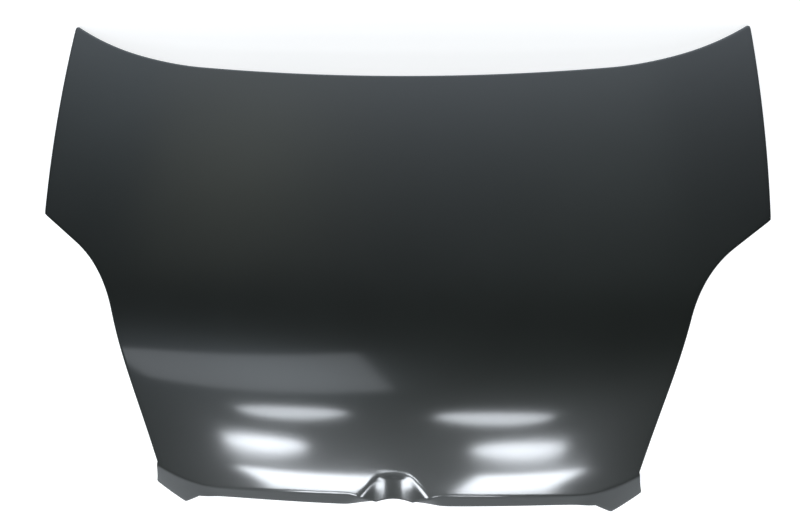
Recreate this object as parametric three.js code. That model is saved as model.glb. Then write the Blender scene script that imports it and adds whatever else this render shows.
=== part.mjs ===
// Car bonnet: a pressed outer skin, hemmed all round over a pressed inner frame, lying skin up.
// X runs across the car, -Y towards the nose, +Z up. Sizes are in millimetres.
// A place on the panel is given by x, across the car, by s, the way along the skin from the middle
// of the rear edge towards the nose, and by depth, the distance under the outer face.

import * as THREE from 'three';

const { clamp, degToRad, smootherstep } = THREE.MathUtils;

// Outline of the outer skin, right half, in x and s
const rearTipX = 720;
const rearEdgeRadius = 2170;
const rearSweepStart = 400;
const rearSweepRadius = 560;
const sideBow = 4.5;
const lampCorner = new THREE.Vector2(679, 263);
const lampKnee = new THREE.Vector2(528, 390);
const lampKneeRadius = 300;
const waist = new THREE.Vector2(419, 772);
const earCorner = new THREE.Vector2(429.5, 825);
const earTip = new THREE.Vector2(378, 868);
const earFoot = new THREE.Vector2(349, 843);
const frontEdgeS = 829;
const frontEdgeRadius = 4500;

// Form of the outer skin: slopes in degrees along the middle line, then the cross curves
const rearSlope = 3.7;
const bodySlope = 8.8;
const bodyLength = 840;
const noseSlope = 26.5;
const noseStart = 360;
const noseEnd = 780;
const lipSlope = 32;
const lipStart = 774;
const lipEnd = 806;
const rearCrownRadius = 4570;
const frontCrownRadius = 3420;
const noseBowRadius = 2560;
const frontFormStart = 350;
const frontFormEnd = 800;
const shoulderX = 500;
const shoulderBlend = 60;
const shoulderTilt = 0.11;
const shoulderFrontShare = 0.4;

// Scallop pressed into the middle of the front lip, left bare
const scallopHalfWidth = 66;
const scallopLength = 72;
const scallopDepth = 20;

// Sheet metal and hem
const skinThickness = 0.8;
const frameThickness = 0.7;
const seatGap = 0.3;
const hemFlange = 9;
const hemBendSteps = 3;

// Inner frame: depth of its levels under the outer face, and the width of its steps
const frameEdgeInset = 2.1;
const hemBandWidth = 14;
const beamFootInset = 22;
const beamFootDepth = 3.2;
const scallopClearance = 4;
const beamWallWidth = 16;
const crestDepth = 25;
const beamCornerRadius = 45;
const mouthFlangeGap = 3;
const mouthFlangeWidth = 18;
const mouthWallWidth = 16;
const mouthCornerRadius = 26;
const mouthStep = 55;
const beamFrontInset = 44;

// Openings of the inner frame, corners in x and s on the right half or across the middle
const ribRearX = 600;
const ribRun = 0.764;
const ribHalfGap = 68;
const rearMouthTop = 106;
const rearMouthTopSide = 74;
const crossRibRear = 250;
const crossRibFront = 350;
const middleMouthEnd = 592;
const sideMouthEnd = 660;
const sideMouthInset = 108;
const cornerMouthTop = 108;

// Hinge pads, striker pad and the small holes of the frame
const hingePad = { x: 612, s: -14, width: 46, length: 92, rise: 4, ramp: 6 };
const hingeBoltSpacing = 52;
const boltHoleDiameter = 9;
const strikerPad = { x: 0, s: 716, width: 104, length: 44, rise: 3, ramp: 6 };
const drainHoleDiameter = 14;
const holeSides = 8;

// Stiffening plates, weld nuts and striker
const reinforcementThickness = 1.8;
const reinforcementMargin = 5;
const nutAcrossFlats = 14;
const nutHeight = 6.5;
const nutBore = 8;
const strikerPlateThickness = 2.5;
const strikerPlateWidth = 92;
const strikerPlateLength = 36;
const strikerRodDiameter = 8;
const strikerRodSpacing = 44;
const strikerDrop = 42;
const strikerBendRadius = 12;

// Mastic dabs that keep the skin from fluttering
const dabLength = 26;
const dabWidth = 13;
const dabSides = 10;
const dabTopShare = 0.86;

// Colours of the finishes
const electrocoat = { color: 0x2c302f, roughness: 0.34, metalness: 0.1 };
const electrocoatInside = { color: 0x262928, roughness: 0.5, metalness: 0.1 };
const mastic = { color: 0x4a4946, roughness: 0.85, metalness: 0 };

// Outline functions

function rearEdge(x) {
  const beyond = Math.max(0, Math.abs(x) - rearSweepStart);
  return -(x * x) / (2 * rearEdgeRadius) - (beyond * beyond) / (2 * rearSweepRadius);
}

function frontEdge(x) {
  const across = Math.abs(x);
  if (across <= earFoot.x) {
    const bow = (reach) => frontEdgeS + reach ** 2 / (2 * frontEdgeRadius);
    return bow(across) + (earFoot.y - bow(earFoot.x)) * (across / earFoot.x) ** 8;
  }
  if (across <= earTip.x) {
    return THREE.MathUtils.mapLinear(across, earFoot.x, earTip.x, earFoot.y, earTip.y);
  }
  return THREE.MathUtils.mapLinear(across, earTip.x, earCorner.x, earTip.y, earCorner.y);
}

const rearTipS = rearEdge(rearTipX);

// The lamp cut runs straight from its corner, then turns in a wide arc into the straight side
function lampCutArc() {
  const before = lampCorner.clone().sub(lampKnee).normalize();
  const after = waist.clone().sub(lampKnee).normalize();
  const halfTurn = (Math.PI - before.angleTo(after)) / 2;
  const reach = lampKneeRadius * Math.tan(halfTurn);
  return {
    start: lampKnee.clone().addScaledVector(before, reach),
    end: lampKnee.clone().addScaledVector(after, reach),
  };
}

const lampArc = lampCutArc();

function lampArcX(s) {
  // A parabola through both tangent points with the two lines as tangents, near a circle arc
  const { start, end } = lampArc;
  const a = start.y - 2 * lampKnee.y + end.y;
  const b = 2 * (lampKnee.y - start.y);
  const c = start.y - s;
  const t = Math.abs(a) < 1e-9 ? -c / b : (-b + Math.sqrt(b * b - 4 * a * c)) / (2 * a);
  return (1 - t) ** 2 * start.x + 2 * t * (1 - t) * lampKnee.x + t * t * end.x;
}

function halfWidth(s) {
  if (s <= lampCorner.y) {
    const t = (s - rearTipS) / (lampCorner.y - rearTipS);
    return THREE.MathUtils.lerp(rearTipX, lampCorner.x, t) + 4 * sideBow * t * (1 - t);
  }
  if (s <= lampArc.start.y) {
    return THREE.MathUtils.mapLinear(s, lampCorner.y, lampArc.start.y, lampCorner.x, lampArc.start.x);
  }
  if (s <= lampArc.end.y) {
    return lampArcX(s);
  }
  if (s <= waist.y) {
    return THREE.MathUtils.mapLinear(s, lampArc.end.y, waist.y, lampArc.end.x, waist.x);
  }
  return THREE.MathUtils.mapLinear(s, waist.y, earCorner.y, waist.x, earCorner.x);
}

// Form of the skin: the profile along the middle is the sum of small steps at the local slope

const profileRear = rearTipS - 60;
const profileStep = 1;
const profile = [];

function slopeAt(s) {
  const degrees = rearSlope + (bodySlope * s) / bodyLength
    + noseSlope * smootherstep(s, noseStart, noseEnd) + lipSlope * smootherstep(s, lipStart, lipEnd);
  return degToRad(degrees);
}

function makeProfile() {
  const steps = Math.ceil((earTip.y + 60 - profileRear) / profileStep);
  let y = 0;
  let z = 0;
  for (let i = 0; i <= steps; i += 1) {
    profile.push(new THREE.Vector2(y, z));
    const middle = slopeAt(profileRear + (i + 0.5) * profileStep);
    y -= Math.cos(middle) * profileStep;
    z -= Math.sin(middle) * profileStep;
  }
}

function profileAt(s) {
  const place = clamp((s - profileRear) / profileStep, 0, profile.length - 1.001);
  const i = Math.floor(place);
  return profile[i].clone().lerp(profile[i + 1], place - i);
}

makeProfile();
const profileOrigin = profileAt(0);

function formPoint(x, s) {
  const front = smootherstep(s, frontFormStart, frontFormEnd);
  const across = Math.abs(x);
  const middle = profileAt(s).sub(profileOrigin);
  const bow = (front * x * x) / (2 * noseBowRadius);
  const crown = (x * x) / 2 * ((1 - front) / rearCrownRadius + front / frontCrownRadius);
  const bend = Math.hypot(across - shoulderX, shoulderBlend) + across - Math.hypot(shoulderX, shoulderBlend) ;
  const shoulder = (shoulderTilt / 2) * bend * (1 - front * (1 - shoulderFrontShare));
  return new THREE.Vector3(x, middle.x + bow, middle.y - crown - shoulder);
}

function formNormal(x, s) {
  const reach = 0.5;
  const across = formPoint(x + reach, s).sub(formPoint(x - reach, s));
  const along = formPoint(x, s + reach).sub(formPoint(x, s - reach));
  return along.cross(across).normalize();
}

function scallop(x, s) {
  const away = (x / scallopHalfWidth) ** 2 + (Math.max(0, frontEdge(x) - s) / scallopLength) ** 2;
  return away < 1 ? scallopDepth * (1 - away) ** 2 : 0;
}

function panelPoint(x, s, depth) {
  return formPoint(x, s).addScaledVector(formNormal(x, s), -depth - scallop(x, s));
}

// Loops in the x and s plane

function signedArea(loop) {
  return THREE.ShapeUtils.area(loop);
}

// Outward vectors that move each corner of a loop so that its edges move out by one
function mitres(loop) {
  const turn = signedArea(loop) > 0 ? 1 : -1;
  const count = loop.length;
  const sides = loop.map((point, i) => {
    const along = loop[(i + 1) % count].clone().sub(point).normalize();
    return new THREE.Vector2(along.y * turn, -along.x * turn);
  });
  return sides.map((after, i) => {
    const before = sides[(i + count - 1) % count];
    return before.clone().add(after).divideScalar(1 + before.dot(after));
  });
}

function grow(loop, distance) {
  const out = mitres(loop);
  return loop.map((point, i) => point.clone().addScaledVector(out[i], distance));
}

// A closed loop through corners with round corners, its straight runs cut into even steps
function roundedLoop(corners, radius, cornerSteps, longestStep) {
  const count = corners.length;
  const bends = corners.map((corner, i) => {
    const before = corners[(i + count - 1) % count].clone().sub(corner);
    const after = corners[(i + 1) % count].clone().sub(corner);
    const halfAngle = before.angleTo(after) / 2;
    const room = 0.45 * Math.min(before.length(), after.length());
    const reach = Math.min(radius / Math.tan(halfAngle), room);
    const start = corner.clone().addScaledVector(before.normalize(), reach);
    const end = corner.clone().addScaledVector(after.normalize(), reach);
    const arc = new THREE.QuadraticBezierCurve(start, corner, end);
    return halfAngle > degToRad(80) ? [corner] : arc.getPoints(cornerSteps);
  });
  const loop = [];
  bends.forEach((bend, i) => {
    loop.push(...bend);
    const from = bend[bend.length - 1];
    const to = bends[(i + 1) % count][0];
    const steps = Math.max(1, Math.ceil(from.distanceTo(to) / longestStep));
    for (let k = 1; k < steps; k += 1) {
      loop.push(from.clone().lerp(to, k / steps));
    }
  });
  return loop;
}

function circleLoop(centre, diameter, sides) {
  return Array.from({ length: sides }, (_, i) => {
    const angle = (2 * Math.PI * (i + 0.5)) / sides;
    return new THREE.Vector2(Math.cos(angle), Math.sin(angle)).multiplyScalar(diameter / 2).add(centre);
  });
}

function mirrored(loop) {
  return loop.map((point) => new THREE.Vector2(-point.x, point.y)).reverse();
}

// Swap the diagonal of two neighbouring triangles wherever the other diagonal suits them better
function evenOut(faces, flat) {
  const turn = Math.sign(faces.reduce((sum, face) => sum + signedArea(face.map((id) => flat[id])), 0));
  const areaOf = (...ids) => turn * signedArea(ids.map((id) => flat[id]));
  const angleAt = (id, from, to) => {
    const first = flat[from].clone().sub(flat[id]);
    return first.angleTo(flat[to].clone().sub(flat[id]));
  };
  for (let swaps = 1, pass = 0; swaps > 0 && pass < 60; pass += 1) {
    const owners = new Map();
    const touched = new Set();
    faces.forEach((face, f) => face.forEach((id, i) => owners.set(`${id},${face[(i + 1) % 3]}`, f)));
    swaps = 0;
    owners.forEach((f, key) => {
      const [a, b] = key.split(',').map(Number);
      const g = owners.get(`${b},${a}`);
      if (a > b || g === undefined || touched.has(f) || touched.has(g)) {
        return;
      }
      const c = faces[f].find((id) => id !== a && id !== b);
      const d = faces[g].find((id) => id !== a && id !== b);
      const wide = angleAt(c, a, b) + angleAt(d, a, b) > Math.PI + 1e-6;
      if (wide && areaOf(a, d, c) > 1e-6 && areaOf(d, b, c) > 1e-6) {
        faces[f] = [a, d, c];
        faces[g] = [d, b, c];
        touched.add(f).add(g);
        swaps += 1;
      }
    });
  }
  return faces;
}

// A triangle mesh that is collected point by point
class Mesher {
  constructor() {
    this.points = [];
    this.faces = [];
  }

  add(point) {
    this.points.push(point);
    return this.points.length - 1;
  }

  quad(a, b, c, d) {
    this.faces.push([a, b, c], [a, c, d]);
  }

  geometry() {
    const shape = new THREE.BufferGeometry();
    const numbers = this.points.flatMap((point) => point.toArray());
    shape.setAttribute('position', new THREE.Float32BufferAttribute(numbers, 3));
    shape.setIndex(this.faces.flat());
    shape.computeVertexNormals();
    return shape;
  }
}

// A pressed sheet: loops of points at given depths joined by strips and flat fills, then thickened.
// Each loop keeps its flat x and s beside its points, and every face is turned to look outwards.
class PressedSheet extends Mesher {
  constructor() {
    super();
    this.flat = [];
    this.fixedNormals = new Map();
  }

  loop(flatLoop, depth) {
    return flatLoop.map((place) => {
      const extra = (scallopClearance * scallop(place.x, place.y)) / scallopDepth;
      return this.place(place, panelPoint(place.x, place.y, depth + (depth > hemHeight ? extra : 0)));
    });
  }

  // A loop pressed flat into the plane of the skin at the given centre
  flatLoop(flatLoop, plane, depth) {
    return flatLoop.map((place) => {
      const point = panelPoint(place.x, place.y, depth);
      point.addScaledVector(plane.normal, -plane.normal.dot(point.clone().sub(plane.centre)));
      const id = this.place(place, point);
      this.fixedNormals.set(id, plane.normal);
      return id;
    });
  }

  place(flatPoint, point) {
    this.flat.push(flatPoint);
    return this.add(point);
  }

  // Faces that belong together are wound one way, and turned as one to look outwards
  addFaces(faces) {
    const area = faces.reduce((sum, face) => sum + signedArea(face.map((id) => this.flat[id])), 0);
    this.faces.push(...(area > 0 ? faces.map(([a, b, c]) => [a, c, b]) : faces));
  }

  strip(loopA, loopB) {
    this.addFaces(loopA.flatMap((a, i) => {
      const next = (i + 1) % loopA.length;
      return [[a, loopA[next], loopB[next]], [a, loopB[next], loopB[i]]];
    }));
  }

  fill(outer, holes) {
    const asShape = (loop) => loop.map((id) => this.flat[id].clone());
    const ids = [...outer, ...holes.flat()];
    const triangles = THREE.ShapeUtils.triangulateShape(asShape(outer), holes.map(asShape));
    this.addFaces(evenOut(triangles.map((face) => face.map((corner) => ids[corner])), this.flat));
  }

  pressNormals() {
    const sums = this.points.map(() => new THREE.Vector3());
    const normals = this.faces.map(([a, b, c]) => {
      const ab = this.points[b].clone().sub(this.points[a]);
      const ac = this.points[c].clone().sub(this.points[a]);
      return ab.cross(ac).normalize();
    });
    const corner = (i, j, k) => {
      const first = this.points[j].clone().sub(this.points[i]);
      const second = this.points[k].clone().sub(this.points[i]);
      return first.angleTo(second);
    };
    this.faces.forEach(([a, b, c], i) => {
      sums[a].addScaledVector(normals[i], corner(a, b, c));
      sums[b].addScaledVector(normals[i], corner(b, c, a));
      sums[c].addScaledVector(normals[i], corner(c, a, b));
    });
    const tightest = this.points.map(() => 1);
    sums.forEach((sum) => sum.normalize());
    this.faces.forEach((face, i) => face.forEach((id) => {
      tightest[id] = Math.min(tightest[id], sums[id].dot(normals[i]));
    }));
    return sums.map((sum, id) => this.fixedNormals.get(id) ?? sum.divideScalar(Math.max(0.7, tightest[id])));
  }

  thicken(thickness) {
    const normals = this.pressNormals();
    const top = this.faces;
    const under = this.points.map((point, id) => point.clone().addScaledVector(normals[id], -thickness));
    const shift = this.points.length;
    this.points.push(...under);
    const edges = new Set();
    top.forEach((face) => face.forEach((id, i) => edges.add(`${id},${face[(i + 1) % 3]}`)));
    const rims = [];
    top.forEach((face) => face.forEach((from, i) => {
      const to = face[(i + 1) % 3];
      if (!edges.has(`${to},${from}`)) {
        rims.push([to, from, from + shift], [to, from + shift, to + shift]);
      }
    }));
    this.faces = [...top, ...top.map(([a, b, c]) => [a + shift, c + shift, b + shift]), ...rims];
    return this.geometry();
  }
}

// Grid of the skin: columns are shares of the half width, rows are stations along the side

function steps(from, to, longest) {
  const count = Math.max(1, Math.ceil((to - from) / longest - 1e-6));
  return Array.from({ length: count }, (_, i) => from + ((to - from) * (i + 1)) / count);
}

function columnShares() {
  const scallopShare = scallopHalfWidth / earCorner.x;
  const footShare = earFoot.x / earCorner.x;
  const tipShare = earTip.x / earCorner.x;
  const half = [
    ...steps(0, scallopShare, scallopShare / 4),
    ...steps(scallopShare, footShare, 0.085),
    ...steps(footShare, tipShare, 0.1),
    ...steps(tipShare, 1, 0.065),
  ];
  return [...half.slice().reverse().map((share) => -share), 0, ...half];
}

function rowStations() {
  return [
    rearTipS,
    ...steps(rearTipS, lampCorner.y, 48),
    ...steps(lampCorner.y, lampArc.start.y, 36),
    ...steps(lampArc.start.y, lampArc.end.y, 26),
    ...steps(lampArc.end.y, waist.y, 27),
    ...steps(waist.y, lipEnd, 8.6),
    ...steps(lipEnd, earCorner.y, 10),
  ];
}

const columns = columnShares();
const rows = rowStations();

function gridPlace(share, row) {
  const s = rows[row];
  const x = share * halfWidth(s);
  const toLamp = clamp((s - rearTipS) / (lampCorner.y - rearTipS), 0, 1);
  const pastLip = clamp((s - lipEnd) / (earCorner.y - lipEnd), 0, 1);
  const rearShift = (rearEdge(x) - rearTipS) * (1 - toLamp);
  const frontShift = (frontEdge(x) - earCorner.y) * pastLip;
  return new THREE.Vector2(x, s + rearShift + frontShift);
}

const lastRow = rows.length - 1;
const lastColumn = columns.length - 1;

function borderCells() {
  const border = [];
  for (let c = 0; c < lastColumn; c += 1) {
    border.push([0, c]);
  }
  for (let r = 0; r < lastRow; r += 1) {
    border.push([r, lastColumn]);
  }
  for (let c = lastColumn; c > 0; c -= 1) {
    border.push([lastRow, c]);
  }
  for (let r = lastRow; r > 0; r -= 1) {
    border.push([r, 0]);
  }
  return border;
}

const border = borderCells();
const outline = border.map(([r, c]) => gridPlace(columns[c], r));

// The outer skin and its hem, folded back over the edge of the inner frame

const hemClasp = frameThickness + 2 * seatGap;
const hemHeight = 2 * skinThickness + hemClasp;
const hemInset = hemHeight / 2;

function hemSection() {
  const section = [];
  for (let i = 1; i <= hemBendSteps; i += 1) {
    const angle = (Math.PI * i) / hemBendSteps;
    section.push([hemInset * Math.sin(angle), hemInset * (1 - Math.cos(angle))]);
  }
  section.push([-hemFlange, hemHeight]);
  section.push([-hemFlange, hemHeight - skinThickness]);
  section.push([0, hemHeight - skinThickness]);
  section.push([hemClasp / 2, hemInset]);
  return section;
}

function outerSkinGeometry() {
  const mesh = new Mesher();
  const out = mitres(outline);
  const inset = new Map();
  border.forEach(([r, c], i) => {
    inset.set(`${r},${c}`, outline[i].clone().addScaledVector(out[i], -hemInset));
  });
  const layer = (depth) => rows.map((_, r) => columns.map((share, c) => {
    const place = inset.get(`${r},${c}`) ?? gridPlace(share, r);
    return mesh.add(panelPoint(place.x, place.y, depth));
  }));
  const top = layer(0);
  const under = layer(skinThickness);
  for (let r = 0; r < lastRow; r += 1) {
    for (let c = 0; c < lastColumn; c += 1) {
      mesh.quad(top[r][c], top[r + 1][c], top[r + 1][c + 1], top[r][c + 1]);
      mesh.quad(under[r][c], under[r][c + 1], under[r + 1][c + 1], under[r + 1][c]);
    }
  }
  const rings = hemSection().map(([reach, depth]) => outline.map((place, i) => {
    const moved = place.clone().addScaledVector(out[i], reach - hemInset);
    return mesh.add(panelPoint(moved.x, moved.y, depth));
  }));
  const bands = [border.map(([r, c]) => top[r][c]), ...rings, border.map(([r, c]) => under[r][c])];
  for (let k = 1; k < bands.length; k += 1) {
    bands[k].forEach((id, i) => {
      const next = (i + 1) % bands[k].length;
      mesh.quad(bands[k - 1][i], bands[k - 1][next], bands[k][next], id);
    });
  }
  return mesh.geometry();
}

// Inner frame

function ribX(s) {
  return ribRearX - ribRun * s;
}

function corners(list) {
  return list.map(([x, s]) => new THREE.Vector2(x, s));
}

function acrossMiddle(list) {
  const right = corners(list);
  return [...right, ...mirrored(right)];
}

function mouthLoop(points) {
  return roundedLoop(points, mouthCornerRadius, 4, mouthStep);
}

const rearMouth = mouthLoop([
  ...acrossMiddle([
    [ribX(rearMouthTopSide) - ribHalfGap, rearMouthTopSide],
    [ribX(crossRibRear) - ribHalfGap, crossRibRear],
  ]),
  new THREE.Vector2(0, rearMouthTop),
]);

const middleMouth = mouthLoop(acrossMiddle([
  [ribX(crossRibFront) - ribHalfGap, crossRibFront],
  [ribX(middleMouthEnd) - ribHalfGap, middleMouthEnd],
]));

const cornerMouth = mouthLoop(corners([
  [halfWidth(cornerMouthTop) - sideMouthInset, cornerMouthTop],
  [halfWidth(crossRibRear) - sideMouthInset, crossRibRear],
  [ribX(crossRibRear) + ribHalfGap, crossRibRear],
]));

const sideMouthKnee = 470;
const sideMouth = mouthLoop(corners([
  [ribX(crossRibFront) + ribHalfGap, crossRibFront],
  [halfWidth(crossRibFront) - sideMouthInset, crossRibFront],
  [halfWidth(sideMouthKnee) - sideMouthInset, sideMouthKnee],
  [halfWidth(sideMouthEnd) - sideMouthInset, sideMouthEnd],
  [ribX(sideMouthEnd) + ribHalfGap, sideMouthEnd],
]));

const mouths = {
  rear: rearMouth,
  middle: middleMouth,
  corner_right: cornerMouth,
  corner_left: mirrored(cornerMouth),
  side_right: sideMouth,
  side_left: mirrored(sideMouth),
};

// Foot line of the perimeter beam, a simpler outline inside the hem band and clear of the ears
function beamFootLoop() {
  const inset = beamFootInset;
  const rearXs = [0, 0.28, 0.52, 0.72, 0.86].map((share) => share * rearTipX);
  const rearPart = rearXs.map((x) => new THREE.Vector2(x, rearEdge(x) + inset * 1.05));
  const tip = new THREE.Vector2(halfWidth(rearTipS) - inset * 1.3, rearEdge(rearTipX - inset) + inset * 1.7);
  const frontS = frontEdgeS - beamFrontInset;
  const right = [
    ...rearPart,
    tip,
    new THREE.Vector2(halfWidth(0) - inset, 0),
    new THREE.Vector2(lampCorner.x - inset * 1.15, lampCorner.y - inset * 0.3),
    new THREE.Vector2(lampArc.start.x - inset * 1.2, lampArc.start.y),
    new THREE.Vector2(halfWidth(lampKnee.y) - inset * 1.15, lampKnee.y),
    new THREE.Vector2(lampArc.end.x - inset, lampArc.end.y),
    new THREE.Vector2(halfWidth(frontS) - inset, frontS - 12),
    new THREE.Vector2(earFoot.x - beamFootInset, frontS),
    ...[4, 3, 2, 1].map((quarter) => new THREE.Vector2((quarter * scallopHalfWidth) / 4, frontS)),
    new THREE.Vector2(0, frontS),
  ];
  const left = mirrored(right.slice(1, -1));
  return roundedLoop([...right, ...left], beamCornerRadius, 3, 60);
}

const holePlaces = [
  [150, 52], [345, 34], [640, 150], [180, 300], [256, 450], [434, 518], [170, 738], [300, 732],
];

function drainHoles() {
  return [1, -1].flatMap((side) => holePlaces.map(([x, s]) => (
    circleLoop(new THREE.Vector2(side * x, s), drainHoleDiameter, holeSides))));
}

function padPlane(pad, side) {
  const x = side * pad.x;
  const centre = panelPoint(x, pad.s, crestDepth + pad.rise);
  return { centre, normal: formNormal(x, pad.s), x, s: pad.s };
}

function padLoop(pad, side, margin) {
  const x = side * pad.x;
  const halfAcross = pad.width / 2 + margin;
  const halfAlong = pad.length / 2 + margin;
  const box = corners([
    [x - halfAcross, pad.s - halfAlong], [x + halfAcross, pad.s - halfAlong],
    [x + halfAcross, pad.s + halfAlong], [x - halfAcross, pad.s + halfAlong],
  ]);
  return roundedLoop(box, 8 + margin, 2, 200);
}

// Bolt places on a hinge pad, along the car from the pad's middle
const hingeBoltPlaces = [-1, 1].map((end) => new THREE.Vector2(0, (end * hingeBoltSpacing) / 2));

function innerFrameGeometry() {
  const sheet = new PressedSheet();
  const edgeDepth = skinThickness + seatGap;
  const edge = sheet.loop(grow(outline, -frameEdgeInset), edgeDepth);
  const band = sheet.loop(grow(outline, -hemBandWidth), edgeDepth);
  const footLine = beamFootLoop();
  const foot = sheet.loop(footLine, beamFootDepth);
  const crest = sheet.loop(grow(footLine, -beamWallWidth), crestDepth);
  sheet.strip(edge, band);
  sheet.fill(band, [foot]);
  sheet.strip(foot, crest);
  const crestHoles = [];
  Object.values(mouths).forEach((mouth) => {
    const flangeDepth = skinThickness + mouthFlangeGap;
    const lip = sheet.loop(mouth, flangeDepth);
    const flange = sheet.loop(grow(mouth, mouthFlangeWidth), flangeDepth);
    const top = sheet.loop(grow(mouth, mouthFlangeWidth + mouthWallWidth), crestDepth);
    sheet.strip(lip, flange);
    sheet.strip(flange, top);
    crestHoles.push(top);
  });
  const addPad = (pad, side, holeLoops) => {
    const plane = padPlane(pad, side);
    const ramp = sheet.loop(padLoop(pad, side, pad.ramp), crestDepth);
    const cap = sheet.flatLoop(padLoop(pad, side, 0), plane, crestDepth + pad.rise);
    const holes = holeLoops.map((loop) => sheet.flatLoop(loop, plane, crestDepth + pad.rise));
    sheet.strip(ramp, cap);
    sheet.fill(cap, holes);
    crestHoles.push(ramp);
  };
  [1, -1].forEach((side) => {
    const middle = new THREE.Vector2(side * hingePad.x, hingePad.s);
    addPad(hingePad, side, hingeBoltPlaces.map((place) => (
      circleLoop(place.clone().add(middle), boltHoleDiameter, holeSides))));
  });
  addPad(strikerPad, 1, []);
  drainHoles().forEach((loop) => crestHoles.push(sheet.loop(loop, crestDepth)));
  sheet.fill(crest, crestHoles);
  return sheet.thicken(frameThickness);
}

// Flat plates and nuts stand on a pad, in its own plane: X across, Y towards the rear, Z to the skin

function onPad(mesh, pad, side, lift) {
  const plane = padPlane(pad, side);
  const along = formPoint(plane.x, plane.s - 1).sub(formPoint(plane.x, plane.s + 1));
  along.addScaledVector(plane.normal, -plane.normal.dot(along)).normalize();
  const across = along.clone().cross(plane.normal).normalize();
  mesh.quaternion.setFromRotationMatrix(new THREE.Matrix4().makeBasis(across, along, plane.normal));
  mesh.position.copy(plane.centre).addScaledVector(plane.normal, lift);
  return mesh;
}

function plateShape(width, length, radius) {
  const loop = roundedLoop(corners([
    [-width / 2, -length / 2], [width / 2, -length / 2], [width / 2, length / 2], [-width / 2, length / 2],
  ]), radius, 3, 1000);
  return new THREE.Shape(loop);
}

function reinforcementGeometry(pad, holePoints) {
  const shape = plateShape(pad.width - 2 * reinforcementMargin, pad.length - 2 * reinforcementMargin, 8);
  holePoints.forEach((place) => {
    shape.holes.push(new THREE.Path(circleLoop(place, boltHoleDiameter, holeSides)));
  });
  return new THREE.ExtrudeGeometry(shape, { depth: reinforcementThickness, bevelEnabled: false });
}

function nutGeometry() {
  const hexagon = new THREE.Shape(circleLoop(new THREE.Vector2(), nutAcrossFlats / Math.cos(Math.PI / 6), 6));
  hexagon.holes.push(new THREE.Path(circleLoop(new THREE.Vector2(), nutBore, 12)));
  return new THREE.ExtrudeGeometry(hexagon, { depth: nutHeight, bevelEnabled: false });
}

function strikerLoopGeometry() {
  const half = strikerRodSpacing / 2;
  const bottom = -strikerDrop;
  const path = new THREE.CurvePath();
  const at = (x, z) => new THREE.Vector3(x, 0, z);
  path.add(new THREE.LineCurve3(at(-half, 0), at(-half, bottom + strikerBendRadius)));
  path.add(new THREE.QuadraticBezierCurve3(
    at(-half, bottom + strikerBendRadius), at(-half, bottom), at(-half + strikerBendRadius, bottom)));
  path.add(new THREE.LineCurve3(at(-half + strikerBendRadius, bottom), at(half - strikerBendRadius, bottom)));
  path.add(new THREE.QuadraticBezierCurve3(
    at(half - strikerBendRadius, bottom), at(half, bottom), at(half, bottom + strikerBendRadius)));
  path.add(new THREE.LineCurve3(at(half, bottom + strikerBendRadius), at(half, 0)));
  const section = new THREE.Shape(circleLoop(new THREE.Vector2(), strikerRodDiameter, 10));
  return new THREE.ExtrudeGeometry(section, { steps: 28, extrudePath: path, bevelEnabled: false });
}

// Mastic dabs sit on the flanges round the mouths, each turned along its flange

function dabGeometry(centre, along) {
  const mesh = new Mesher();
  const topDepth = skinThickness + seatGap;
  const underDepth = skinThickness + mouthFlangeGap - seatGap;
  const side = new THREE.Vector2(-along.y, along.x);
  const ring = (share, depth) => Array.from({ length: dabSides }, (_, i) => {
    const angle = (2 * Math.PI * i) / dabSides;
    const place = centre.clone()
      .addScaledVector(along, (share * dabLength * Math.cos(angle)) / 2)
      .addScaledVector(side, (share * dabWidth * Math.sin(angle)) / 2);
    return mesh.add(panelPoint(place.x, place.y, depth));
  });
  const top = ring(dabTopShare, topDepth);
  const under = ring(1, underDepth);
  const topMiddle = mesh.add(panelPoint(centre.x, centre.y, topDepth));
  const underMiddle = mesh.add(panelPoint(centre.x, centre.y, underDepth));
  top.forEach((id, i) => {
    const next = (i + 1) % dabSides;
    mesh.faces.push([topMiddle, top[next], id], [underMiddle, under[i], under[next]]);
    mesh.quad(id, top[next], under[next], under[i]);
  });
  return mesh.geometry();
}

// The place on the middle of a flange that is nearest to a wanted place, and the way along it
function dabSite(mouth, wanted) {
  const flangeMiddle = grow(mouth, mouthFlangeWidth / 2);
  const distances = flangeMiddle.map((place) => place.distanceTo(wanted));
  const i = distances.indexOf(Math.min(...distances));
  const before = flangeMiddle[(i + mouth.length - 1) % mouth.length];
  const after = flangeMiddle[(i + 1) % mouth.length];
  return { centre: flangeMiddle[i], along: after.clone().sub(before).normalize() };
}

// Assembly

const bonnet = new THREE.Group();

function addPiece(name, geometry, finish) {
  const mesh = new THREE.Mesh(geometry, new THREE.MeshStandardMaterial(finish));
  mesh.name = name;
  bonnet.add(mesh);
  return mesh;
}

addPiece('outer_skin', outerSkinGeometry(), electrocoat);
addPiece('inner_frame', innerFrameGeometry(), electrocoatInside);

const sides = [['right', 1], ['left', -1]];

sides.forEach(([word, side]) => {
  const plate = reinforcementGeometry(hingePad, hingeBoltPlaces);
  onPad(addPiece(`hinge_reinforcement_${word}`, plate, electrocoatInside), hingePad, side, seatGap);
  hingeBoltPlaces.forEach((place) => {
    const end = place.y < 0 ? 'front' : 'rear';
    const nut = addPiece(`hinge_weld_nut_${word}_${end}`, nutGeometry(), electrocoatInside);
    onPad(nut, hingePad, side, 2 * seatGap + reinforcementThickness);
    nut.translateY(place.y);
  });
});

const strikerStiffener = reinforcementGeometry(strikerPad, []);
onPad(addPiece('striker_reinforcement', strikerStiffener, electrocoatInside), strikerPad, 1, seatGap);

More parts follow.
